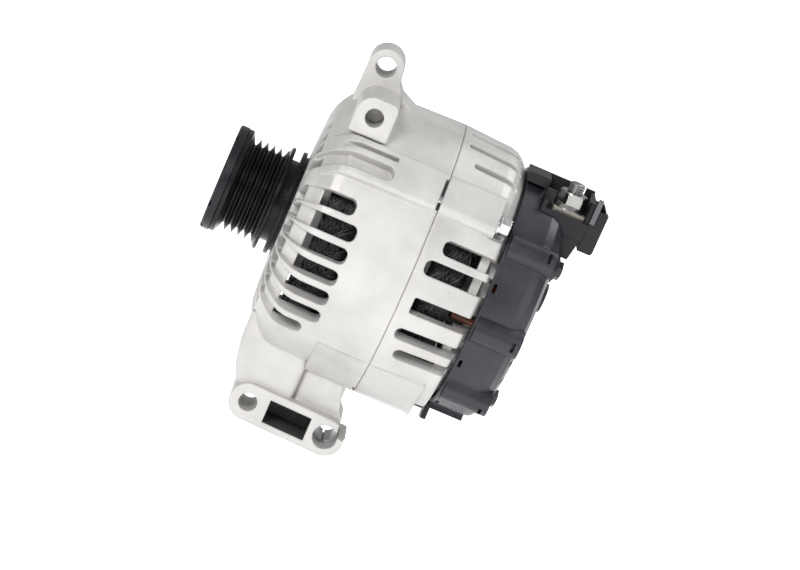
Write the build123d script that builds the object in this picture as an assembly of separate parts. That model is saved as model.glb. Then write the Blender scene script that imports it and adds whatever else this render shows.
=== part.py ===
from build123d import *
import math
import os

os.makedirs("parts", exist_ok=True)

# ---- driving dimensions (mm) ------------------------------------------------
# Frame: X is the rotor axis (pulley at the low end), Z up through the upper
# mounting ear, Y across. The origin is on the axis in the middle belt groove.
GROOVE_PITCH = 3.56
GROOVE_R = 20.5
RIDGE_R = 23.8
FLANGE_R = 26.6
X_SEAM = 83.4          # joint between the two housings
X_FACE = 19.8          # front face of the front housing
R_SHELL = 70.0         # outer radius at the seam
R_SEAT = 63.5          # stator core seat
R_VOID = 62.3          # inner radius over the windings
CORE_X0, CORE_X1 = 54.0, 90.0
CORE_RI = 51.9
ROTOR_R = 51.4
SLOT_PITCH = 9.6
SLOT_W = 8.2
BOLT_R = 68.0
BOLT_PHI = (38.0, -77.0, 160.0)
EAR_X, EAR_Z, EAR_R, EAR_HOLE = 36.0, 83.0, 8.8, 5.1
LUG_XF, LUG_ZF = 37.8, -90.2
LUG_XR, LUG_ZR = 78.8, -91.7
LUG_R = 9.4
LUG_HOLE = 4.6
LUG_BORE = 6.0
LOWER_BOSS = [(-53.8, -44.8), (-32.7, -64.8), (-9.0, -72.3), (3.0, -69.5), (0.0, -50.0), (-40.0, -30.0)]
COVER_R = 62.7
X_COVER0, X_COVER1 = 120.0, 147.0
STUD_X, STUD_Y = 142.8, -20.0

C3 = (Align.CENTER, Align.CENTER, Align.MIN)


def P(pts):
    return Polygon(*pts, align=None)


def turned(pts):
    return revolve(P(pts), axis=Axis.X, revolution_arc=360)


def ring_x(x0, x1, ri, ro):
    return turned([(x0, ri), (x1, ri), (x1, ro), (x0, ro)])


def rod_x(x0, x1, r, y=0.0, z=0.0):
    return Pos(x0, y, z) * Rot(0, 90, 0) * Cylinder(r, x1 - x0, align=C3)


def rod_y(y0, y1, r, x, z):
    return Pos(x, y0, z) * Rot(-90, 0, 0) * Cylinder(r, y1 - y0, align=C3)


def rod_z(z0, z1, r, x, y):
    return Pos(x, y, z0) * Cylinder(r, z1 - z0, align=C3)


def box(x0, x1, y0, y1, z0, z1):
    return Pos((x0 + x1) / 2, (y0 + y1) / 2, (z0 + z1) / 2) * Box(x1 - x0, y1 - y0, z1 - z0)


def slab_y(pts, y0, y1, sk=None):
    s = Plane.XZ * (P(pts) if sk is None else sk)
    return Pos(0, y1, 0) * extrude(s, amount=y1 - y0, dir=(0, -1, 0))


def at_phi(phi, s):
    # phi is measured about the rotor axis from -Y towards +Z; parts are
    # drawn standing at +Z and turned into place
    return Rot(90 - phi, 0, 0) * s


def yz(phi, r):
    return -r * math.cos(math.radians(phi)), r * math.sin(math.radians(phi))


def hexrod_x(x0, x1, af, y=0.0, z=0.0, turn=0.0):
    h = extrude(RegularPolygon(af / math.sqrt(3), 6, rotation=turn), amount=x1 - x0)
    return Pos(x0, y, z) * Rot(0, 90, 0) * h


def wedge(x0, x1, half, r0, r1):
    # radial wedge standing at +Z, extruded along X
    t = math.tan(math.radians(half))
    pts = [(-r0 * t, r0), (r0 * t, r0), (r1 * t, r1), (-r1 * t, r1)]
    return Pos(x0, 0, 0) * extrude(Plane.YZ * P(pts), amount=x1 - x0, dir=(1, 0, 0))


def slot_radial(x0, x1, w, r0, r1, fr):
    # slot outline in the tangent plane with rounded ends, cut radially
    sk = RectangleRounded(x1 - x0, w, fr)
    return Pos((x0 + x1) / 2, 0, r0) * extrude(sk, amount=r1 - r0)


def save(name, shape):
    shape.label = name
    export_step(shape, f"parts/{name}.step")
    print(name, round(shape.volume, 1))


def group(items):
    return Compound(children=list(items))


# ---- overrunning pulley -----------------------------------------------------
g = GROOVE_PITCH
prof = [(-12.6, 23.0), (-12.6, 26.2), (-12.2, 26.6), (-10.3, 26.6), (-9.9, 26.2), (-9.3, 24.3), (-9.0, 24.1)]
for k in range(-2, 3):
    c = k * g
    prof += [(c - g / 2 + 0.18, RIDGE_R), (c - 0.35, GROOVE_R), (c + 0.35, GROOVE_R), (c + g / 2 - 0.18, RIDGE_R)]
prof += [(9.3, 24.1), (9.6, 24.4), (10.3, 26.2), (10.6, 26.6), (11.8, 26.6), (12.1, 26.3), (12.1, 21.0), (16.0, 21.0),
         (16.0, 26.2), (16.4, 26.6), (17.9, 26.6), (18.2, 26.3), (18.2, 24.6), (20.2, 24.6), (20.2, 18.0),
         (18.2, 18.0), (18.2, 16.0), (-8.4, 16.0), (-8.4, 23.0)]
save("pulley_ring", turned(prof))

cap = turned([(-17.2, 0), (-17.2, 25.8), (-16.9, 26.5), (-16.3, 26.9), (-12.62, 26.9), (-12.62, 23.0), (-8.6, 23.0),
              (-8.6, 21.2), (-14.9, 21.2), (-14.9, 0)])
cap -= [at_phi(a, box(-18, -15.9, -1.6, 1.6, 24.4, 28)) for a in (-60, -20, 20, 60, 120, 180, 240)]
cap -= ring_x(-18, -16.5, 14.5, 16.5)
save("pulley_cap", cap)

hub = turned([(-8.2, 8.9), (-8.2, 12.0), (18.6, 12.0), (18.6, 11.0), (24.0, 11.0), (24.0, 8.0), (-1.0, 8.0), (-1.0, 8.9)])
hub -= [at_phi(a, box(-9, -1.2, -0.6, 0.6, 8, 9.7)) for a in range(0, 360, 30)]
save("pulley_hub", hub)

save("clutch_sleeve", ring_x(-1.8, 11.4, 14.85, 16.0))
n_roll = 14
save("clutch_rollers", group([at_phi(a * 360 / n_roll, Pos(-1.0, 0, 13.4) * Rot(0, 90, 0) * Cylinder(1.4, 11.6, align=C3))
                              for a in range(n_roll)]))
cage = ring_x(-1.7, 11.3, 12.5, 14.3)
cage -= [at_phi(a * 360 / n_roll, box(-1.0, 10.6, -1.4, 1.4, 11, 16)) for a in range(n_roll)]
save("clutch_cage", cage)


def race_pair(x0, x1, r_in, r_a, r_b, r_out, rp, rg):
    xm = (x0 + x1) / 2
    inner = ring_x(x0, x1, r_in, r_a) - revolve(Pos(xm, rp) * Circle(rg), axis=Axis.X, revolution_arc=360)
    outer = ring_x(x0, x1, r_b, r_out) - revolve(Pos(xm, rp) * Circle(rg), axis=Axis.X, revolution_arc=360)
    return inner, outer


def balls(x, rp, rb, n):
    return [at_phi(i * 360 / n, Pos(x, 0, rp) * Sphere(rb)) for i in range(n)]


oi1, oo1 = race_pair(-8.0, -2.0, 12.0, 13.0, 15.0, 16.0, 14.0, 1.35)
oi2, oo2 = race_pair(11.6, 17.6, 12.0, 13.0, 15.0, 16.0, 14.0, 1.35)
save("overrun_inner_races", group([oi1, oi2]))
save("overrun_outer_races", group([oo1, oo2]))
save("overrun_balls", group(balls(-5.0, 14.0, 1.3, 16) + balls(14.6, 14.0, 1.3, 16)))

# ---- front bearing 17 x 47 x 14 ---------------------------------------------
fi, fo = race_pair(24.0, 38.0, 8.5, 12.6, 19.0, 23.5, 15.8, 3.97)
save("front_inner_race", fi)
save("front_outer_race", fo)
save("front_balls", group(balls(31.0, 15.8, 3.93, 8)))
fc = ring_x(26.2, 35.8, 14.7, 16.9)
fc -= [at_phi(i * 45, Pos(31.0, 0, 10) * Cylinder(3.93, 12, align=C3)) for i in range(8)]
save("front_cage", fc)
save("front_bearing_seal", group([ring_x(24.3, 25.0, 13.0, 19.0), ring_x(37.0, 37.7, 13.0, 19.0)]))

# ---- rear bearing 15 x 35 x 11 ----------------------------------------------
ri, ro = race_pair(112.0, 123.0, 7.5, 10.2, 14.4, 17.5, 12.3, 2.9)
save("rear_inner_race", ri)
save("rear_outer_race", ro)
save("rear_balls", group(balls(117.5, 12.3, 2.86, 9)))
rc = ring_x(113.8, 121.2, 11.6, 13.0)
rc -= [at_phi(i * 40, Pos(117.5, 0, 8) * Cylinder(2.86, 9, align=C3)) for i in range(9)]
save("rear_cage", rc)

# ---- rotor ------------------------------------------------------------------
shaft = turned([(-5.0, 0), (-5.0, 7.2), (-4.0, 8.0), (24.0, 8.0), (24.0, 8.5), (38.0, 8.5), (38.0, 10.5), (44.6, 10.5),
                (44.6, 9.0), (99.4, 9.0), (99.4, 10.5), (112.0, 10.5), (112.0, 7.5), (124.0, 7.5), (124.0, 5.0),
                (141.0, 5.0), (141.0, 0)])
shaft -= extrude(Plane.YZ.offset(-5.0) * RegularPolygon(4.6, 6), amount=12)
save("rotor_shaft", shaft)


def claw(front):
    def m(x):
        return x if front else 144.0 - x
    ringp = turned([(m(46), 28), (m(46), 48.5), (m(49), ROTOR_R), (m(90), ROTOR_R), (m(92), 50.0), (m(92), 48.4),
                    (m(57), 43.6), (m(57), 28)])
    turn = 0 if front else 30
    fingers = []
    for i in range(6):
        sk = P([(m(46), -13), (m(57), -12), (m(92), -6.6), (m(92), 6.6), (m(57), 12), (m(46), 13)])
        fingers.append(at_phi(i * 60 + turn, Pos(0, 0, 20) * extrude(sk, amount=45, dir=(0, 0, 1))))
    body = ringp & fingers[0].fuse(*fingers[1:])
    disc = ring_x(min(m(46), m(57)), max(m(46), m(57)), 9.0, 36.0)
    core = ring_x(min(m(46), m(72)), max(m(46), m(72)), 9.0, 22.0)
    return disc + core + body


save("front_claw_pole", claw(True))
save("rear_claw_pole", claw(False))
save("coil_bobbin", turned([(57, 22), (87, 22), (87, 42.5), (85.2, 42.5), (85.2, 23.6), (58.8, 23.6), (58.8, 42.5), (57, 42.5)]))
save("field_coil", turned([(58.8, 23.6), (85.2, 23.6), (85.2, 41.0), (84, 41.6), (60, 41.6), (58.8, 41.0)]))


def fan(x_plate, x_tip, n, lean):
    lo, hi = min(x_plate), max(x_plate)
    f = ring_x(lo, hi, 9.0, 50.0)
    f -= [at_phi(i * 360 / n + 14, Pos(0, 0, 41) * box(lo - 1, hi + 1, -3.2, 3.2, -5.5, 5.5)) for i in range(n)]
    a, b = (x_tip, lo) if x_tip < lo else (hi, x_tip)
    blades = [at_phi(i * 360 / n, Pos(0, 0, 41.5) * Rot(lean, 0, 0) * box(a, b, -0.7, 0.7, -8.2, 8.2)) for i in range(n)]
    return f.fuse(*blades)


save("front_fan", fan((44.6, 46.0), 35.5, 12, 28))
save("rear_fan", fan((98.0, 99.4), 108.5, 10, -28))

save("slip_ring_carrier", turned([(124.4, 5.0), (124.4, 7.0), (127, 7.0), (127, 6.4), (132, 6.4), (132, 7.0), (134.5, 7.0),
                                  (134.5, 6.4), (139.5, 6.4), (139.5, 7.0), (140.6, 7.0), (140.6, 5.0)]))
save("slip_rings", group([ring_x(127, 132, 6.4, 7.6), ring_x(134.5, 139.5, 6.4, 7.6)]))

# ---- stator -----------------------------------------------------------------
core = ring_x(CORE_X0, CORE_X1, CORE_RI, R_SEAT)
slot = box(CORE_X0 - 1, CORE_X1 + 1, -2.1, 2.1, 53.4, 60.0)
mouth = box(CORE_X0 - 1, CORE_X1 + 1, -1.1, 1.1, 50.0, 53.4)
cuts = []
for i in range(36):
    cuts += [at_phi(i * 10, slot), at_phi(i * 10, mouth)]
core -= cuts
save("stator_core", core)


def end_turns(x_core, x_out):
    s = 1 if x_out > x_core else -1
    r = turned([(x_core, 53.4), (x_core, 60.0), (x_core + s * 3, 61.0), (x_out - s * 2, 61.2), (x_out, 59.6),
                (x_out, 54.8), (x_out - s * 2, 53.4)])
    xm = (x_core + x_out) / 2
    cut = [at_phi(i * 10 + 5, Pos(xm + s * 0.8, 0, 61.2) * Rot(0, 0, 24) * Box(abs(x_out - x_core) * 1.3, 1.3, 2.6)) for i in range(36)]
    return r - cut


save("front_end_turns", end_turns(CORE_X0, 33.0))
save("rear_end_turns", end_turns(CORE_X1, 109.0))
save("slot_conductors", group([at_phi(i * 10, box(CORE_X0, CORE_X1, -2.1, 2.1, 53.4, 60.0)) for i in range(36)]))
leads = []
for a in (-5.2, 112.0, -155.0):
    y, z = yz(a, 58.0)
    leads.append(rod_x(109.0, 125.0, 2.2, y, z))
save("phase_leads", group(leads))

# ---- front housing ----------------------------------------------------------
outer = turned([(X_FACE, 0), (X_FACE, 34.0), (20.7, 49.0), (21.9, 54.0), (23.6, 57.6), (26.2, 61.4), (29.2, 64.9),
                (32.6, 67.6), (36.5, 68.9), (X_SEAM, R_SHELL), (X_SEAM, 0)])
void = turned([(24.8, 29.5), (25.8, 50.0), (26.6, 53.9), (31.0, 54.0), (31.0, R_VOID), (CORE_X0, R_VOID), (CORE_X0, R_SEAT),
               (X_SEAM + 1, R_SEAT), (X_SEAM + 1, 0), (38.0, 0), (38.0, 28.6)])


def boss(x0, x1, r_top, w, fr=4.0):
    b = box(x0, x1, -w / 2, w / 2, 50.0, r_top)
    top = b.edges().filter_by(Axis.X).sort_by(Axis.Z)[-2:]
    return fillet(top, fr)


ears = []
ear_sk = P([(27.6, 83.0), (27.0, 58.0), (58.0, 58.0), (57.0, 68.6), (53.5, 70.2), (49.0, 72.4), (46.2, 76.2), (44.4, 83.0)])
ears.append(slab_y(None, -11, 11, sk=ear_sk + Pos(EAR_X, EAR_Z) * Circle(EAR_R)))
pad_sk = Pos(39.3, 64.1) * Rectangle(19.2, 19.0)
pad_sk = fillet(pad_sk.vertices().sort_by(Axis.Y)[-2:].sort_by(Axis.X)[:1], 8.4)
pad_sk = fillet(pad_sk.vertices().sort_by(Axis.Y)[-2:].sort_by(Axis.X)[-1:], 3.2)
pad_sk = fillet(pad_sk.vertices().sort_by(Axis.Y)[:2], 1.0)
ears.append(slab_y(None, -46, -8, sk=pad_sk))
ears.append(slab_y([(LUG_XF, LUG_ZF - LUG_R), (LUG_XR, LUG_ZR - LUG_R), (LUG_XR, LUG_ZR + LUG_R), (LUG_XF, LUG_ZF + LUG_R)], -37, -12))
ears.append(rod_y(-37, -12, LUG_R, LUG_XF, LUG_ZF))
ears.append(rod_y(-37, -9, LUG_R, LUG_XR, LUG_ZR))
arm_a = slab_y([(22.8, -48), (22.8, -64), (24.6, -74), (28.6, -84.0), (57, -84.0), (57, -48)], -34, -10)
arm_a = fillet(arm_a.edges().filter_by(Axis.Z).sort_by(Axis.Y)[:2], 3.0)
arm_b = slab_y([(56, -46), (56, -84.5), (78.8, -84.5), (84.0, -93.5), (88.9, -91.0), (87.4, -86.8), (83.8, -82.6), (80.8, -79.0), (79.6, -74.0), (79.6, -46)], -29.5, -10)
arm_b = fillet(arm_b.edges().filter_by(Axis.Z).sort_by(Axis.Y)[:2], 4.5)
ears += [arm_a, arm_b]
low_boss = Pos(56.5, 0, 0) * extrude(Plane.YZ * P(LOWER_BOSS), amount=X_SEAM - 56.5, dir=(1, 0, 0))
low_boss = fillet(low_boss.edges().filter_by(Axis.X).sort_by(Axis.Z)[1:3], 3.0)
env = turned([(23.6, 0), (23.6, 56.0), (26.0, 62.2), (29.2, 66.6), (33.0, 70.2), (38.0, 72.4), (X_SEAM, 72.8), (X_SEAM, 0)])
bosses = [at_phi(40.6, boss(23.0, X_SEAM, 72.8, 22.0, 4.0)) & env, at_phi(161.5, boss(23.0, X_SEAM, 72.8, 20.0, 5.0)) & env, low_boss]
solid = outer.fuse(*ears, *bosses)
solid -= box(0, 22.7, -100, 100, 30, 100) - turned([(0, 0), (0, 60), (30, 60), (30, 0)])
solid -= box(X_SEAM, 120, -120, 120, -90, 90)
cutters = [void, ring_x(X_SEAM - 0.3, X_SEAM + 1, 69.55, 80.0), rod_x(24.0, 40.0, 23.5), rod_x(15.0, 30.0, 13.5), rod_x(15.0, 21.4, 25.8)]
front_phis = [20.8 - SLOT_PITCH * k for k in range(7)] + [55.0] + [56.5 + 57 + SLOT_PITCH * k for k in range(4)] + \
             [175.5 + SLOT_PITCH * k for k in range(8)]
bridge = turned([(23.4, 53.9), (25.8, 57.2), (28.6, 60.4), (31.0, 62.2), (31.0, 53.9)])
blind = turned([(22.6, 50.0), (24.8, 55.4), (27.8, 59.4), (31.0, 62.8), (35.0, 65.4), (35.2, 50.0)])
for a in front_phis:
    x1 = 52.5
    if abs(a - 20.8) < 0.1:
        x1 = 47.6
    if abs(a + 36.8) < 0.1:
        x1 = 46.4
    if a == 55.0:
        continue
    cutters.append(at_phi(a, slot_radial(20.0, x1, SLOT_W, 50.0, 76.0, 3.2) - bridge))
    cutters.append(at_phi(a, wedge(15.0, 33.0, 3.3, 38.0, 53.9)))
for a in (55.0, 64.5, 95.5, 105.0, -47.5, -57.0, -66.5, -99.0, -108.5, 37.8, 157.0, 147.0, 166.5, 47.4):
    cutters.append(at_phi(a, wedge(15.0, 26.0, 3.3, 38.0, 55.5)))
for a in (38.2, 161.5):
    cutters.append(at_phi(a, slot_radial(20.0, 58.0, 7.8, 66.8, 80.0, 3.4)))
    cutters.append(at_phi(a, slot_radial(20.0, 35.0, 7.8, 50.0, 76.0, 0.6) - blind))
cutters += [at_phi(45.0, box(30.0, 57.5, -1.3, 1.3, 68.4, 80))]
for a in BOLT_PHI:
    y, z = yz(a, BOLT_R)
    cutters.append(rod_x(60.0, X_SEAM + 1, 2.5, y, z))
    cutters.append(at_phi(a + 1.0, box(X_SEAM - 1.7, X_SEAM + 1, -8.4, 17.5 if a < 0 else 8.4, 66.2, 80.0)))
cutters += [rod_y(-12, 12, EAR_HOLE, EAR_X, EAR_Z), rod_y(-47, -32, 4.5, 39.3, 64.2),
            rod_y(-38, -9, LUG_HOLE, LUG_XF, LUG_ZF), rod_y(-38, -8, LUG_BORE, LUG_XR, LUG_ZR),
            slab_y([(47.8, -96.9), (69.6, -97.6), (69.6, -85.6), (47.8, -84.9)], -38, -15)]
for a in (45, 135, 225, 315):
    y, z = yz(a, 26.0)
    cutters.append(rod_x(31.0, 39.0, 1.7, y, z))
front_housing = solid.cut(*cutters)
save("front_housing", front_housing)

save("bearing_retainer", (ring_x(38.0, 39.8, 17.0, 29.5)).cut(*[rod_x(37, 41, 1.75, *yz(a, 26.0)) for a in (45, 135, 225, 315)]))
save("retainer_screws", group([rod_x(31.0, 39.8, 1.7, *yz(a, 26.0)) + rod_x(39.8, 42.0, 3.3, *yz(a, 26.0)) for a in (45, 135, 225, 315)]))

# ---- rear housing -----------------------------------------------------------
r_out = turned([(X_SEAM, 0), (X_SEAM, R_SHELL), (109.0, 68.5), (112.5, 67.4), (115.5, 65.2), (118.2, 61.8), (120.8, 57.0),
                (122.4, 51.0), (122.6, 46.0), (122.6, 23.4), (124.0, 22.2), (124.0, 0)])
r_void = turned([(X_SEAM - 1, 0), (X_SEAM - 1, R_SEAT), (CORE_X1, R_SEAT), (CORE_X1, R_VOID), (111.4, R_VOID),
                 (111.4, 56.0), (116.0, 55.8), (117.4, 54.0), (118.4, 49.0), (118.5, 22.4), (111.5, 22.4), (111.5, 0)])
r_low = Pos(X_SEAM, 0, 0) * extrude(Plane.YZ * P(LOWER_BOSS), amount=112.0 - X_SEAM, dir=(1, 0, 0))
r_low = fillet(r_low.edges().filter_by(Axis.X).sort_by(Axis.Z)[1:3], 3.0)
r_bosses = [at_phi(40.6, boss(X_SEAM, 112.0, 72.6, 22.0, 4.0)), at_phi(161.5, boss(X_SEAM, 112.0, 72.6, 20.0, 5.0)), r_low]
sector = extrude(Plane.YZ * P([(0, 0)] + [(-110 * math.cos(math.radians(q)), 110 * math.sin(math.radians(q))) for q in (-60, -15, 31)]), amount=140, dir=(1, 0, 0))
r_bosses.append(turned([(100.0, 60.0), (100.0, 69.0), (116.3, 68.2), (117.4, 67.2), (117.4, 60.0)]) & sector)
keep_ring = ring_x(111.5, 116.0, 55.9, 60.6)
r_solid = r_out.fuse(*r_bosses)
rc = [r_void, rod_x(110.0, 123.0, 17.5), rod_x(120.0, 125.0, 14.6)]
for a, w, x0 in ((20.7, 7.6, 92.3), (11.0, 7.6, 87.6), (-5.2, 8.6, 89.3), (-18.6, 6.8, 87.4), (-28.6, 6.6, 91.0),
                 (-105.0, 7.6, 88.0), (-115.0, 7.6, 88.0),
                 (-125.0, 7.6, 88.0), (-135.0, 7.6, 88.0), (-145.0, 7.6, 88.0), (-155.0, 7.6, 88.0), (-165.0, 7.6, 88.0),
                 (-175.0, 7.6, 88.0), (176.5, 7.6, 92.0), (132.0, 7.6, 92.0), (122.0, 7.6, 88.0), (112.0, 7.6, 88.0)):
    sl = slot_radial(x0, 130.0, w, 55.2, 76.0, 1.2 if abs(a + 5.2) < 0.1 else 3.0)
    rc.append(at_phi(a, sl if a in (-5.2, 112.0, -155.0) else sl - keep_ring))
for a, w, x0 in ((60.2, 3.6, 92.5), (71.6, 3.6, 87.5), (83.2, 3.6, 87.4)):
    rc.append(at_phi(a, slot_radial(x0, 130.0, w, 64.6, 76.0, 1.2)))
for i in range(9):
    rc.append(at_phi(i * 40 + 16.5, wedge(116.0, 126.0, 14.0, 28.0, 45.0)))
for a in BOLT_PHI:
    y, z = yz(a, BOLT_R)
    rc.append(rod_x(X_SEAM - 1, 113.0, 2.7, y, z))
    rc.append(rod_x(112.0, 126.0, 6.6, *yz(a, BOLT_R + 0.4)))
    rc.append(rod_x(115.0, 125.0, 2.5, *yz(a, 48.5)))
rear_housing = r_solid.cut(*rc)
save("rear_housing", rear_housing)

bolts = []
for a in BOLT_PHI:
    y, z = yz(a, BOLT_R)
    b = rod_x(60.5, 112.0, 2.48, y, z) + rod_x(112.0, 113.2, 5.2, y, z) + hexrod_x(113.2, 118.0, 8.0, y, z)
    b -= rod_x(117.0, 119.0, 2.4, y, z)
    bolts.append(b)
save("through_bolts", group(bolts))

# ---- rear cover -------------------------------------------------------------
cover = turned([(X_COVER0, 0), (X_COVER0, COVER_R), (136.5, COVER_R), (140.6, 61.4), (144.0, 58.2), (146.0, 52.0),
                (X_COVER1, 42.0), (X_COVER1, 0)])
add = [at_phi(a, rod_x(121.2, 144.6, 7.0, 0, 60.6)) for a in (33.5, -6.0, -44.0, -112.0, 200.0, 160.0)]
add += [at_phi(-77.0, box(118.9, 121.4, -6.0, 6.0, 58.0, 71.2)), at_phi(-77.0, box(121.2, 138.0, -6.5, 6.5, 56.0, 65.0))]
add.append(rod_x(146.0, 151.0, 7.4, -12.0, 9.0))
add += [rod_x(138.0, 147.3, 6.8, *yz(a, 48.5)) for a in BOLT_PHI]
cover = cover.fuse(*add)
c_void = turned([(X_COVER0 - 2, 0), (X_COVER0 - 2, 60.5), (136.2, 60.5), (139.6, 59.2), (142.2, 56.4), (143.9, 51.0),
                 (144.8, 41.6), (144.8, 0)])
cut = [c_void, box(118.0, 129.4, -22.6, -2.4, 61.0, 90.0), box(129.2, 170, -34.4, -2.4, 45.6, 90.0), box(134.6, 170, -33.6, -2.4, 34.9, 46.0),
       box(110, 120.0, -70, 70, -60.4, 60.4)]
for i in range(17):
    a = 5 - i * 12.0
    if abs(a + 77) > 9:
        cut.append(at_phi(a, box(139.0, 150.0, -1.6, 1.6, 25.0, 57.0 if -75 < a < -12 else 51.5)))
for a in BOLT_PHI:
    cut.append(rod_x(140, 150, 2.6, *yz(a, 48.5)))
for a in (13.5, -25.0, -62.0, 180.0, -135.0):
    cut.append(at_phi(a, box(121.6, 123.3, -2.3, 2.3, 57.0, 66.0)))
for a in (33.5, -6.0, -44.0, -112.0, 200.0, 160.0):
    cut.append(at_phi(a, box(140.4, 142.0, -2.5, 2.5, 64.6, 69.0)))
for c in cut:
    cover = cover.cut(c)
save("rear_cover", cover)

spacers = []
studs = []
nuts = []
for a in BOLT_PHI:
    y, z = yz(a, 48.5)
    studs.append(rod_x(115.0, 150.6, 2.5, y, z))
    spacers.append(rod_x(122.6, 143.2, 4.2, y, z) - rod_x(120, 146, 2.5, y, z))
    nuts.append(hexrod_x(147.9, 150.2, 8.0, y, z) + rod_x(147.3, 147.9, 5.4, y, z) - rod_x(146, 153, 2.5, y, z))
save("cover_studs", group(studs))
save("cover_spacers", group(spacers))
save("cover_nuts", group(nuts))

# ---- rectifier, regulator and brushes ---------------------------------------
clear = [rod_x(120, 146, 4.6, *yz(a, 48.5)) for a in BOLT_PHI]
half = box(100, 160, -70, 70, -70, 0)
neg = (ring_x(124.2, 126.4, 26.0, 55.5) & half).cut(*clear)
pos = (ring_x(132.4, 135.0, 26.0, 53.0) & half).cut(*clear)
diode_phis = [-12, -38, -64, -104, -130, -156]
pos_phis = [-24, -45, -62, -99, -123, -147]
neg_h = []
for a in diode_phis:
    neg_h.append(rod_x(120, 136, 5.0, *yz(a, 36.0)))
save("negative_plate", neg.cut(*neg_h))
save("positive_plate", pos.cut(*[rod_x(120, 136, 5.0, *yz(a, 46.5)) for a in pos_phis]))
save("negative_diodes", group([rod_x(124.2, 129.6, 5.0, *yz(a, 36.0)) + rod_x(129.6, 131.6, 1.0, *yz(a, 36.0)) for a in diode_phis]))
save("positive_diodes", group([rod_x(130.0, 135.0, 5.0, *yz(a, 46.5)) + rod_x(128.2, 130.0, 1.0, *yz(a, 46.5)) for a in pos_phis]))

XB1, XB2 = 129.5, 137.0
holder = box(125.2, 141.2, -6.2, 6.2, 10.0, 33.0)
holder -= [box(XB1 - 2.26, XB1 + 2.26, -3.26, 3.26, 9, 31.4), box(XB2 - 2.26, XB2 + 2.26, -3.26, 3.26, 9, 31.4)]
holder += box(125.2, 141.2, -20.0, 20.0, 32.6, 34.6)
save("brush_holder", holder)


def brush(x):
    b = box(x - 2.2, x + 2.2, -3.2, 3.2, 7.0, 21.0)
    return b - rod_x(120, 145, 7.62)


def spring(x):
    h = Helix(pitch=2.0, height=9.6, radius=1.55, center=(x, 0, 21.35))
    w = sweep(Plane(origin=h @ 0, z_dir=h % 0) * Circle(0.3), path=h, is_frenet=True)
    return w


save("brush_inner", brush(XB1))
save("brush_outer", brush(XB2))
save("brush_spring_inner", spring(XB1))
save("brush_spring_outer", spring(XB2))
save("regulator", box(127.0, 140.5, 6.2, 24.0, 14.0, 32.6))

# ---- output terminal and connector ------------------------------------------
SX, SY = STUD_X, STUD_Y
term = box(129.4, 153.6, -34.0, -3.0, 46.0, 54.9)
term += box(129.4, 153.6, -5.2, -3.0, 46.0, 66.2)
term += box(129.4, 131.6, -34.0, -3.0, 46.0, 59.0)
term += slab_y([(136.0, 46.0), (153.0, 46.0), (151.0, 35.4), (140.5, 35.4)], -33.0, -3.0)
term += box(129.4, 134.4, -27.0, -24.6, 50.0, 63.0)
term += box(151.6, 153.6, -32.0, -3.0, 46.0, 65.4)
term += box(118.9, 130.0, -22.0, -3.0, 61.3, 66.2)
term -= rod_z(30, 60, 3.5, SX, SY)
term -= box(144.0, 149.0, -7.0, -1.0, 60.0, 75.0)
save("terminal_block", term)
plate = box(134.5, 151.2, -29.0, -11.0, 54.9, 56.7) - rod_z(50, 60, 3.5, SX, SY)
save("terminal_plate", fillet(plate.edges().filter_by(Axis.Z).sort_by(Axis.X)[:2], 2.0))
save("b_plus_stud", rod_z(37.0, 65.0, 3.5, SX, SY) + rod_z(65.0, 69.5, 3.9, SX, SY))
nut = Pos(SX, SY, 57.8) * extrude(RegularPolygon(13.0 / math.sqrt(3), 6, rotation=10), amount=6.8)
nut = nut & (Pos(SX, SY, 57.8) * Cone(9.6, 6.6, 6.8, align=C3) + Pos(SX, SY, 57.8) * Cylinder(7.35, 6.2, align=C3))
nut += Pos(SX, SY, 56.7) * Cone(8.7, 7.4, 2.0, align=C3)
save("b_plus_nut", nut - rod_z(50, 75, 3.5, SX, SY))

conn = box(153.6, 161.0, -33.0, -5.0, 41.5, 62.6)
conn = fillet(conn.edges().filter_by(Axis.Y).sort_by(Axis.X)[-2:], 1.6)
conn -= box(155.2, 159.6, -31.0, -7.0, 45.0, 70.0)
conn += box(160.8, 162.4, -22.0, -16.0, 50.0, 60.5)
conn -= box(160.1, 163.2, -20.5, -17.5, 57.0, 70.0)
pins = [box(157.0, 157.8, y - 1.2, y + 1.2, 42.6, 57.5) for y in (-27.0, -19.0, -11.0)]
save("connector_shell", conn.cut(*pins))
save("connector_pins", group(pins))
save("connector_frame", box(153.6, 156.0, -34.6, -33.0, 56.0, 68.6))

# ---- sliding mounting sleeve ------------------------------------------------
sleeve = rod_y(-26.0, -8.0, LUG_BORE - 0.04, LUG_XR, LUG_ZR) - rod_y(-27, -7, LUG_HOLE, LUG_XR, LUG_ZR)
sleeve -= box(LUG_XR - 0.5, LUG_XR + 0.5, -27, -7, LUG_ZR - 7, LUG_ZR)
save("mount_sleeve", sleeve)
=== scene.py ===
import bpy, bmesh, math, random
from mathutils import Vector, Matrix


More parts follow.
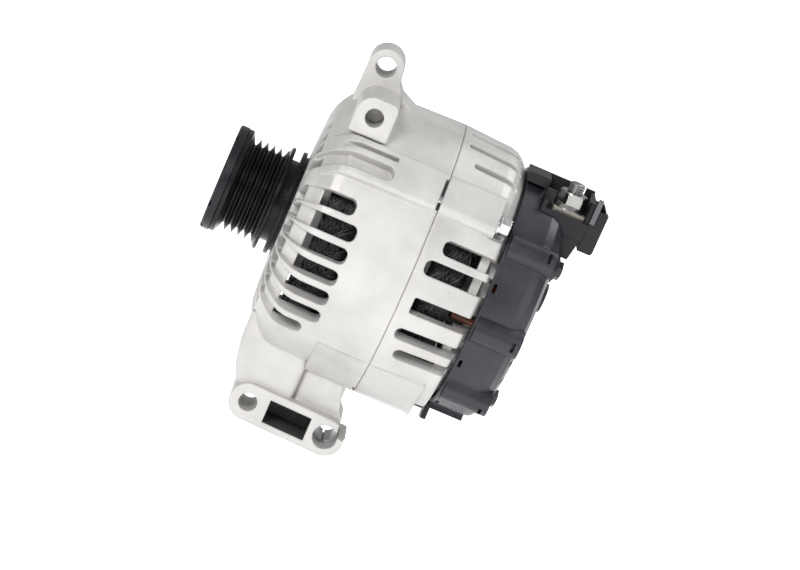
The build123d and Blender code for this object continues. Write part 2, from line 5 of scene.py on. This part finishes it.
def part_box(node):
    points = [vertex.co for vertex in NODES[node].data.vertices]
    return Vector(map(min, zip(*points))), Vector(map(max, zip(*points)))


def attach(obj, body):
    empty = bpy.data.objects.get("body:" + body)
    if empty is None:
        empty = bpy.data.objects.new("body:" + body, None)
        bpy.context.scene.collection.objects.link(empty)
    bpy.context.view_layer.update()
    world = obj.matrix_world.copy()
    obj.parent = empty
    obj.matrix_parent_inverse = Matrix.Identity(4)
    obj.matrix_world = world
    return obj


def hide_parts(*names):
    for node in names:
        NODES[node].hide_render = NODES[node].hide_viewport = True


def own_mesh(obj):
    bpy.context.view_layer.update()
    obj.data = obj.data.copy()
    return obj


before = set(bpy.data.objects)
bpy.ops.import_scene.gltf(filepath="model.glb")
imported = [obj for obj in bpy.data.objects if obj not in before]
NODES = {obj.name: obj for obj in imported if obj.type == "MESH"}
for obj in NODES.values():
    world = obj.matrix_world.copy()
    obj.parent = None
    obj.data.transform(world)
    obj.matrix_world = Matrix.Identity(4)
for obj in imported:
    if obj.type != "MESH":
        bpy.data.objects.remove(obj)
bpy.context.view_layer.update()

scene = bpy.context.scene
random.seed(7)


# ---------------------------------------------------------------- materials
class Mat:
    """A small helper that strings shader nodes together."""

    def __init__(self, name, rough=0.5, metal=0.0, **kw):
        self.m = bpy.data.materials.new(name)
        self.m.use_nodes = True
        self.nt = self.m.node_tree
        for n in list(self.nt.nodes):
            self.nt.nodes.remove(n)
        self.out = self.nt.nodes.new("ShaderNodeOutputMaterial")
        self.b = self.nt.nodes.new("ShaderNodeBsdfPrincipled")
        self.nt.links.new(self.b.outputs[0], self.out.inputs[0])
        self.b.inputs["Roughness"].default_value = rough
        self.b.inputs["Metallic"].default_value = metal
        for k, v in kw.items():
            self.b.inputs[k.replace("_", " ")].default_value = v
        self.tc = self.nt.nodes.new("ShaderNodeTexCoord").outputs["Object"]
        self.normal = None

    def node(self, kind, **kw):
        n = self.nt.nodes.new(kind)
        for k, v in kw.items():
            setattr(n, k, v)
        return n

    def link(self, a, b):
        self.nt.links.new(a, b)

    def noise(self, scale, detail=3.0, rough=0.5, vec=None, distortion=0.0):
        n = self.node("ShaderNodeTexNoise")
        n.inputs["Scale"].default_value = scale
        n.inputs["Detail"].default_value = detail
        n.inputs["Roughness"].default_value = rough
        n.inputs["Distortion"].default_value = distortion
        self.link(vec or self.tc, n.inputs["Vector"])
        return n.outputs["Fac"]

    def voronoi(self, scale, vec=None, feature="F1"):
        n = self.node("ShaderNodeTexVoronoi", feature=feature)
        n.inputs["Scale"].default_value = scale
        self.link(vec or self.tc, n.inputs["Vector"])
        return n.outputs["Distance"]

    def mapping(self, scale):
        n = self.node("ShaderNodeMapping")
        n.inputs["Scale"].default_value = scale
        self.link(self.tc, n.inputs["Vector"])
        return n.outputs["Vector"]

    def ramp(self, fac, stops):
        n = self.node("ShaderNodeValToRGB")
        r = n.color_ramp
        while len(r.elements) < len(stops):
            r.elements.new(0.5)
        for e, (p, c) in zip(r.elements, stops):
            e.position = p
            e.color = c if len(c) == 4 else (*c, 1)
        self.link(fac, n.inputs["Fac"])
        return n.outputs["Color"]

    def remap(self, fac, a, b, lo=0.3, hi=0.7):
        n = self.node("ShaderNodeMapRange")
        n.inputs["From Min"].default_value = lo
        n.inputs["From Max"].default_value = hi
        n.inputs["To Min"].default_value = a
        n.inputs["To Max"].default_value = b
        self.link(fac, n.inputs["Value"])
        return n.outputs["Result"]

    def mix(self, fac, a, b, mode="MIX"):
        n = self.node("ShaderNodeMix", data_type="RGBA", blend_type=mode)
        if isinstance(fac, (int, float)):
            n.inputs[0].default_value = fac
        else:
            self.link(fac, n.inputs[0])
        for s, v in ((6, a), (7, b)):
            if isinstance(v, (tuple, list)):
                n.inputs[s].default_value = (*v[:3], 1)
            else:
                self.link(v, n.inputs[s])
        return n.outputs[2]

    def math(self, op, a, b=None):
        n = self.node("ShaderNodeMath", operation=op)
        for i, v in enumerate((a, b)):
            if v is None:
                continue
            if isinstance(v, (int, float)):
                n.inputs[i].default_value = v
            else:
                self.link(v, n.inputs[i])
        return n.outputs[0]

    def round_edges(self, radius):
        n = self.node("ShaderNodeBevel", samples=6)
        n.inputs["Radius"].default_value = radius
        if self.normal is not None:
            self.link(self.normal, n.inputs["Normal"])
        self.normal = n.outputs[0]

    def bump(self, height, strength, distance):
        n = self.node("ShaderNodeBump")
        n.inputs["Strength"].default_value = strength
        n.inputs["Distance"].default_value = distance
        self.link(height, n.inputs["Height"])
        if self.normal is not None:
            self.link(self.normal, n.inputs["Normal"])
        self.normal = n.outputs[0]

    def color(self, c):
        self.link(c, self.b.inputs["Base Color"])

    def rough(self, r):
        self.link(r, self.b.inputs["Roughness"])

    def done(self):
        if self.normal is not None:
            self.link(self.normal, self.b.inputs["Normal"])
        return self.m


def cast_aluminium():
    m = Mat("cast_aluminium", rough=0.5, metal=0.35)
    patch = m.noise(38.0, 4.0, 0.6)
    fine = m.noise(900.0, 2.0, 0.6)
    grit = m.noise(2600.0, 2.0, 0.7)
    c = m.ramp(patch, [(0.25, (0.435, 0.426, 0.415)), (0.5, (0.51, 0.50, 0.486)), (0.8, (0.585, 0.575, 0.56))])
    c = m.mix(m.remap(fine, 0.0, 0.30, 0.60, 0.78), c, (0.30, 0.292, 0.284))
    # painted shade: inside a box of object coordinates, the pocket between the two lugs is darkened towards near
    # black
    sep = m.node("ShaderNodeSeparateXYZ")
    m.link(m.tc, sep.inputs[0])
    pocket_shade_mask = None
    for ax, lo, hi in (("X", 0.0470, 0.0704), ("Y", -0.0362, -0.0142), ("Z", -0.0985, -0.0840)):
        for op, v in (("GREATER_THAN", lo), ("LESS_THAN", hi)):
            t = m.math(op, sep.outputs[ax], v)
            pocket_shade_mask = t if pocket_shade_mask is None else m.math("MULTIPLY", pocket_shade_mask, t)
    # painted shade: inside the pocket box the colour is mixed 86% towards near black
    c = m.mix(m.math("MULTIPLY", pocket_shade_mask, 0.86), c, (0.03, 0.03, 0.03))
    m.color(c)
    m.rough(m.remap(patch, 0.42, 0.58))
    m.round_edges(0.0014)
    m.bump(m.noise(140.0, 3.0, 0.5), 0.35, 0.00014)
    m.bump(grit, 0.8, 0.00007)
    return m.done()


def turned_metal(name, base, rough, axis=0, metal=1.0, ring=2600.0, edge=0.0003):
    m = Mat(name, rough=rough, metal=metal)
    sc = [40.0, 40.0, 40.0]
    sc[axis] = ring
    lines = m.noise(1.0, 2.0, 0.5, vec=m.mapping(tuple(sc)))
    patch = m.noise(120.0, 3.0, 0.6)
    dark = tuple(v * 0.78 for v in base)
    c = m.mix(m.remap(patch, 0.0, 0.8), dark, base)
    m.color(c)
    m.rough(m.remap(patch, rough * 0.75, rough * 1.3))
    if edge:
        m.round_edges(edge)
    m.bump(lines, 0.25, 0.00003)
    return m.done()


def black_pulley():
    m = Mat("pulley_black", rough=0.26, metal=0.0, Specular_IOR_Level=0.22)
    lines = m.noise(1.0, 2.0, 0.5, vec=m.mapping((3000.0, 60.0, 60.0)))
    patch = m.noise(160.0, 4.0, 0.6)
    m.color(m.ramp(patch, [(0.3, (0.004, 0.004, 0.005)), (0.7, (0.009, 0.009, 0.010))]))
    m.rough(m.remap(patch, 0.20, 0.34))
    m.round_edges(0.00025)
    m.bump(lines, 0.3, 0.00003)
    return m.done()


def plastic(name, a, b, rough=0.5, grain=1500.0, edge=0.0006, spec=0.35):
    m = Mat(name, rough=rough, Specular_IOR_Level=spec)
    patch = m.noise(60.0, 3.0, 0.6)
    m.color(m.ramp(patch, [(0.3, a), (0.7, b)]))
    m.rough(m.remap(patch, rough - 0.06, rough + 0.08))
    m.round_edges(edge)
    m.bump(m.voronoi(grain), 0.35, 0.00004)
    m.bump(m.noise(90.0, 2.0), 0.15, 0.0001)
    return m.done()


def varnished_wire():
    m = Mat("varnished_wire", rough=0.34, Specular_IOR_Level=0.3, Coat_Weight=0.12, Coat_Roughness=0.15)
    patch = m.noise(260.0, 4.0, 0.65)
    m.color(m.ramp(patch, [(0.3, (0.006, 0.006, 0.007)), (0.55, (0.016, 0.016, 0.018)), (0.8, (0.10, 0.097, 0.094))]))
    m.rough(m.remap(patch, 0.2, 0.45))
    m.bump(m.noise(700.0, 3.0), 0.4, 0.0001)
    return m.done()


def copper(name="enamelled_copper", k=1.0):
    m = Mat(name, rough=0.32, metal=0.45)
    patch = m.noise(300.0, 4.0, 0.6)
    stops = [(0.25, (0.20, 0.045, 0.018)), (0.6, (0.46, 0.13, 0.05)), (0.85, (0.62, 0.24, 0.11))]
    m.color(m.ramp(patch, [(p, tuple(v * k for v in c)) for p, c in stops]))
    m.rough(m.remap(patch, 0.22, 0.42))
    m.bump(m.noise(900.0, 2.0), 0.3, 0.00005)
    return m.done()


def dark_iron(name="dark_iron", a=(0.045, 0.043, 0.042), b=(0.10, 0.097, 0.095)):
    m = Mat(name, rough=0.55, metal=0.7)
    patch = m.noise(140.0, 5.0, 0.65)
    m.color(m.ramp(patch, [(0.3, a), (0.75, b)]))
    m.rough(m.remap(patch, 0.42, 0.68))
    m.round_edges(0.0005)
    m.bump(m.noise(1100.0, 3.0), 0.4, 0.00006)
    return m.done()


def laminations():
    m = Mat("laminations", rough=0.45, metal=0.8)
    lines = m.noise(1.0, 1.0, 0.5, vec=m.mapping((1900.0, 2.0, 2.0)))
    m.color(m.ramp(lines, [(0.35, (0.05, 0.05, 0.052)), (0.65, (0.16, 0.16, 0.165))]))
    m.bump(lines, 0.6, 0.00012)
    return m.done()


def rubber():
    m = Mat("seal_rubber", rough=0.7)
    p = m.noise(500.0, 3.0)
    m.color(m.ramp(p, [(0.3, (0.012, 0.012, 0.012)), (0.7, (0.03, 0.03, 0.03))]))
    m.bump(p, 0.3, 0.00005)
    return m.done()


ALU = cast_aluminium()
PULLEY = black_pulley()
COVER = plastic("charcoal_plastic", (0.013, 0.0135, 0.019), (0.023, 0.024, 0.032), 0.38, edge=0.0010, spec=0.45)
BLACK = plastic("black_plastic", (0.008, 0.008, 0.010), (0.015, 0.015, 0.018), 0.42, 1900.0, spec=0.28)
CAP = plastic("cap_plastic", (0.008, 0.009, 0.011), (0.014, 0.015, 0.018), 0.34, 1900.0, 0.0005, spec=0.25)
ZINC = turned_metal("zinc_plate", (0.72, 0.73, 0.75), 0.26)
ZINC_Z = turned_metal("zinc_plate_z", (0.46, 0.455, 0.44), 0.24, axis=2)
STUD = turned_metal("stud_zinc", (0.33, 0.33, 0.335), 0.40, axis=2)
DARKNUT = turned_metal("black_nut", (0.05, 0.05, 0.055), 0.34, metal=0.6)
STEEL = turned_metal("bearing_steel", (0.60, 0.61, 0.63), 0.2)
SLEEVE = turned_metal("sleeve_steel", (0.42, 0.42, 0.43), 0.35, axis=1)
PLATE = turned_metal("alloy_plate", (0.55, 0.56, 0.57), 0.4)
CLIP = turned_metal("clip_steel", (0.16, 0.16, 0.17), 0.42, axis=2)
BEIGE = turned_metal("plated_strip", (0.46, 0.43, 0.38), 0.36, axis=2, metal=0.85)
# the fans' dark colour is partly painted shade: it stands in for the shade inside the housing behind the front slots
FAN = turned_metal("fan_sheet", (0.07, 0.07, 0.072), 0.5, metal=0.5)
WIRE = varnished_wire()
COPPER = copper()
LEAD = copper("lead_copper", 0.20)
IRON = dark_iron()
CARBON = dark_iron("carbon", (0.02, 0.02, 0.022), (0.05, 0.05, 0.052))
LAMS = laminations()
RUBBER = rubber()

TABLE = {
    "front_housing": ALU, "rear_housing": ALU, "rear_cover": COVER, "pulley_ring": PULLEY, "pulley_hub": PULLEY,
    "pulley_cap": CAP, "clutch_sleeve": STEEL, "clutch_rollers": STEEL, "clutch_cage": BLACK,
    "overrun_inner_races": STEEL, "overrun_outer_races": STEEL, "overrun_balls": STEEL,
    "front_inner_race": STEEL, "front_outer_race": STEEL, "front_balls": STEEL, "front_cage": STEEL,
    "rear_inner_race": STEEL, "rear_outer_race": STEEL, "rear_balls": STEEL, "rear_cage": STEEL,
    "front_bearing_seal": RUBBER, "bearing_retainer": ZINC, "retainer_screws": ZINC, "rotor_shaft": STEEL,
    "front_claw_pole": IRON, "rear_claw_pole": IRON, "coil_bobbin": BLACK, "field_coil": COPPER,
    "front_fan": FAN, "rear_fan": FAN, "slip_ring_carrier": BLACK, "slip_rings": COPPER, "stator_core": LAMS,
    "slot_conductors": WIRE, "front_end_turns": WIRE, "rear_end_turns": WIRE, "phase_leads": LEAD,
    "through_bolts": ZINC, "cover_nuts": DARKNUT, "cover_studs": DARKNUT, "cover_spacers": ZINC,
    "negative_plate": PLATE, "positive_plate": PLATE, "negative_diodes": PLATE, "positive_diodes": PLATE,
    "brush_holder": BLACK, "brush_inner": CARBON, "brush_outer": CARBON, "brush_spring_inner": STEEL,
    "brush_spring_outer": STEEL, "regulator": BLACK, "terminal_block": BLACK, "terminal_plate": BEIGE,
    "b_plus_stud": STUD, "b_plus_nut": ZINC_Z, "connector_shell": BLACK, "connector_pins": BEIGE,
    "connector_frame": CLIP, "mount_sleeve": SLEEVE,
}
for name, obj in NODES.items():
    mat = TABLE[name]
    obj.data.materials.clear()
    obj.data.materials.append(mat)


# ---------------------------------------------------------------- built pieces
def mesh_piece(name, verts, faces, mat, body, smooth=True):
    me = bpy.data.meshes.new(name)
    me.from_pydata(verts, [], faces)
    me.update()
    ob = bpy.data.objects.new(name, me)
    scene.collection.objects.link(ob)
    me.materials.append(mat)
    for p in me.polygons:
        p.use_smooth = smooth
    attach(ob, body)
    return ob


def tube_data(path, r, sides=7, r2=None):
    """Rings of a swept tube along path, as verts and faces with closed ends."""
    V, F = [], []
    n = len(path)
    up = Vector((0.31, 0.52, 0.79)).normalized()
    prev = None
    for i, p in enumerate(path):
        t = (path[min(i + 1, n - 1)] - path[max(i - 1, 0)]).normalized()
        if prev is None:
            u = t.cross(up).normalized()
        else:
            u = (prev - t * prev.dot(t)).normalized()
        prev = u
        w = t.cross(u)
        for k in range(sides):
            a = 2 * math.pi * k / sides
            V.append(p + (u * math.cos(a) + w * math.sin(a)) * r)
    for i in range(n - 1):
        for k in range(sides):
            a = i * sides + k
            b = i * sides + (k + 1) % sides
            F.append((a, b, b + sides, a + sides))
    F.append(tuple(reversed(range(sides))))
    F.append(tuple(range((n - 1) * sides, n * sides)))
    return V, F


def end_turns(name, replaced, x_core, x_crest, seed):
    """Laid-in wire bundles of a stator end: each leaves one slot and drops into the slot three further on."""
    rnd = random.Random(seed)
    V, F = [], []
    s = 1 if x_crest > x_core else -1
    depth = abs(x_crest - x_core)
    # the body of the bundles, revolved from a profile
    prof = [(0.0, 0.0540), (0.0, 0.0592), (0.80, 0.0592), (0.93, 0.0582), (0.96, 0.0568), (0.93, 0.0548), (0.80, 0.0540)]
    seg, m_ = 144, len(prof)
    for k in range(seg):
        a = 2 * math.pi * k / seg
        for q, (u, r) in enumerate(prof):
            rr = r + (0.0003 * math.sin(k * 1.5 + q) if u > 0 else 0)
            V.append(Vector((x_core + s * depth * u, -rr * math.cos(a), rr * math.sin(a))))
    for k in range(seg):
        for q in range(m_):
            a, b = k * m_ + q, k * m_ + (q + 1) % m_
            c, d = ((k + 1) % seg) * m_ + (q + 1) % m_, ((k + 1) % seg) * m_ + q
            F.append((a, b, c, d))
    for i in range(36):
        lean = rnd.uniform(-0.25, 0.25)
        for layer in range(9):
            r1 = 0.0598 - 0.00028 * (layer % 3) + rnd.uniform(-0.0002, 0.0002)
            a0 = math.radians(i * 10.0 + 0.75 * layer + rnd.uniform(-0.8, 0.8))
            a1 = a0 + math.radians(32.0 - 1.9 * layer + rnd.uniform(-1.5, 1.5))
            crest = depth * (0.97 - 0.072 * layer + rnd.uniform(-0.02, 0.02))
            path = []
            N = 18
            for k in range(N + 1):
                u = k / N
                h = math.sin(math.pi * u) ** 0.6
                w = u + lean * 0.35 * math.sin(math.pi * u) ** 2
                a = a0 + (a1 - a0) * w
                r = 0.0592 + (r1 - 0.0592) * min(1.0, 3.0 * math.sin(math.pi * u))
                if crest * h > depth * 0.85:
                    r -= (crest * h - depth * 0.85) * 0.5
                path.append(Vector((x_core + s * (crest - 0.0006) * h, -r * math.cos(a), r * math.sin(a))))
            v, f = tube_data(path, 0.00055, 7)
            o = len(V)
            V += v
            F += [tuple(j + o for j in q) for q in f]
    # lacing band round the crest
    for q in range(2):
        path = []
        for k in range(181):
            a = math.radians(2 * k)
            wob = 0.0003 * math.sin(36 * a + q)
            r = 0.0602 + wob
            path.append(Vector((x_core + s * (depth * (0.50 + 0.12 * q)) + 0.0005 * math.sin(18 * a + q * 2), -r * math.cos(a), r * math.sin(a))))
        v, f = tube_data(path, 0.0005, 6)
        o = len(V)
        V += v
        F += [tuple(j + o for j in q2) for q2 in f]
    ob = mesh_piece(name, V, F, WIRE, "housing")
    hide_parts(replaced)
    return ob


end_turns("winding_front", "front_end_turns", 0.0540, 0.0336, 3)
end_turns("winding_rear", "rear_end_turns", 0.0900, 0.1085, 5)


def thread(name, r, pitch, z0, z1, x, y, mat, body, axis="z", seg=48, per=10, tip=0.0008, shank=None):
    """A threaded rod: a helicoid groove between z0 and z1, with a chamfered tip."""
    V, F = [], []
    depth = pitch * 0.54
    n = int((z1 - z0) / pitch * per)
    for i in range(n + 1):
        z = z0 + (z1 - z0) * i / n
        for k in range(seg):
            a = 2 * math.pi * k / seg
            ph = (z / pitch - k / seg) % 1.0
            tri = abs(ph * 2 - 1)
            d = depth * min(1.0, max(0.0, (tri - 0.1) / 0.8))
            rr = r - d
            if shank and z < shank[0]:
                rr = shank[1]
            if z1 - z < tip:
                rr = min(rr, r - (tip - (z1 - z)) * 0.9)
            if axis == "z":
                V.append((x + rr * math.cos(a), y + rr * math.sin(a), z))
            else:
                V.append((z, x + rr * math.cos(a), y + rr * math.sin(a)))
    for i in range(n):
        for k in range(seg):
            a = i * seg + k
            b = i * seg + (k + 1) % seg
            F.append((a, b, b + seg, a + seg))
    F.append(tuple(reversed(range(seg))))
    F.append(tuple(range(n * seg, (n + 1) * seg)))
    return V, F


(b_lo, b_hi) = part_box("b_plus_stud")
sx, sy = (b_lo[0] + b_hi[0]) / 2, (b_lo[1] + b_hi[1]) / 2
V, F = thread("output_thread", 0.0039, 0.00125, b_lo[2], b_hi[2], sx, sy, STUD, "housing",
              shank=(0.0648, 0.0034))
st = mesh_piece("output_thread", V, F, STUD, "housing")
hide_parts("b_plus_stud")



def brush_spring(name, node):
    """A coil spring wound between the bottom and top of the spring part's box."""
    lo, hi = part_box(node)
    x = (lo[0] + hi[0]) / 2
    wire = 0.00029
    z0, z1 = lo[2] + wire + 0.00002, hi[2] - wire - 0.00002
    N = 115
    path = [Vector((x + 0.00155 * math.cos(2 * math.pi * 4.8 * k / N), 0.00155 * math.sin(2 * math.pi * 4.8 * k / N), z0 + (z1 - z0) * k / N)) for k in range(N + 1)]
    v, f = tube_data(path, wire, 8)
    ob = mesh_piece(name, v, f, STEEL, "housing")
    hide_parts(node)
    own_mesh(ob)


brush_spring("coil_inner", "brush_spring_inner")
brush_spring("coil_outer", "brush_spring_outer")

# ---------------------------------------------------------------- stage
floor_me = bpy.data.meshes.new("floor")
S, Z = 30.0, -0.42
floor_me.from_pydata([(-S, -S, Z), (S, -S, Z), (S, S, Z), (-S, S, Z)], [], [(0, 1, 2, 3)])
floor = bpy.data.objects.new("floor", floor_me)
scene.collection.objects.link(floor)
fm = Mat("floor_white_painted_glow", rough=0.9)
fm.b.inputs["Base Color"].default_value = (0.86, 0.86, 0.86, 1)
fm.b.inputs["Emission Color"].default_value = (1, 1, 1, 1)
# painted light: the floor glows, dimly under the alternator and brighter further out, so it lights the part from
# below and reads as a lit backdrop
glow_distance = fm.node("ShaderNodeVectorMath", operation="LENGTH")
fm.link(fm.tc, glow_distance.inputs[0])
fm.link(fm.remap(glow_distance.outputs["Value"], 0.12, 0.95, 0.15, 0.85), fm.b.inputs["Emission Strength"])
floor_me.materials.append(fm.done())

world = bpy.data.worlds.new("studio")
world.use_nodes = True
bg = world.node_tree.nodes["Background"]
bg.inputs[0].default_value = (1.0, 1.0, 1.0, 1)
bg.inputs[1].default_value = 0.42
scene.world = world


def area(name, loc, target, size, power, color=(1, 1, 1)):
    l = bpy.data.lights.new(name, "AREA")
    l.shape = "RECTANGLE"
    l.size, l.size_y = size
    l.energy = power
    l.color = color
    o = bpy.data.objects.new(name, l)
    scene.collection.objects.link(o)
    o.location = loc
    d = Vector(target) - Vector(loc)
    o.rotation_euler = d.to_track_quat("-Z", "Y").to_euler()
    return o


CEN = (0.08, 0.0, 0.0)
area("key", (-0.9, -1.9, 1.3), CEN, (0.8, 0.8), 40)
area("fill", (1.5, -1.5, 0.6), CEN, (0.7, 1.4), 9, (0.98, 0.99, 1.0))
area("rim", (0.9, 0.5, 1.6), CEN, (0.9, 0.5), 14)

# ---------------------------------------------------------------- camera
cam = bpy.data.cameras.new("camera")
cam_o = bpy.data.objects.new("camera", cam)
scene.collection.objects.link(cam_o)
scene.camera = cam_o
cam.sensor_width = 36.0
cam.lens = 127.9
cam.clip_start, cam.clip_end = 0.05, 100.0
el, az, roll, dist = math.radians(13.0), math.radians(3.8), math.radians(23.8), 1.4
tgt = Vector((0.085, 0.0, -0.0156))
back = Vector((-math.sin(az) * math.cos(el), -math.cos(az) * math.cos(el), math.sin(el)))
R0 = (-back).cross(Vector((0, 0, 1))).normalized()
U0 = R0.cross(-back)
R = R0 * math.cos(roll) + U0 * math.sin(roll)
U = U0 * math.cos(roll) - R0 * math.sin(roll)
M = Matrix((R, U, back)).transposed().to_4x4()
M.translation = tgt + back * dist
cam_o.matrix_world = M

scene.view_settings.view_transform = "Standard"
scene.view_settings.look = "None"
scene.view_settings.exposure = 0.0
scene.view_settings.gamma = 1.0
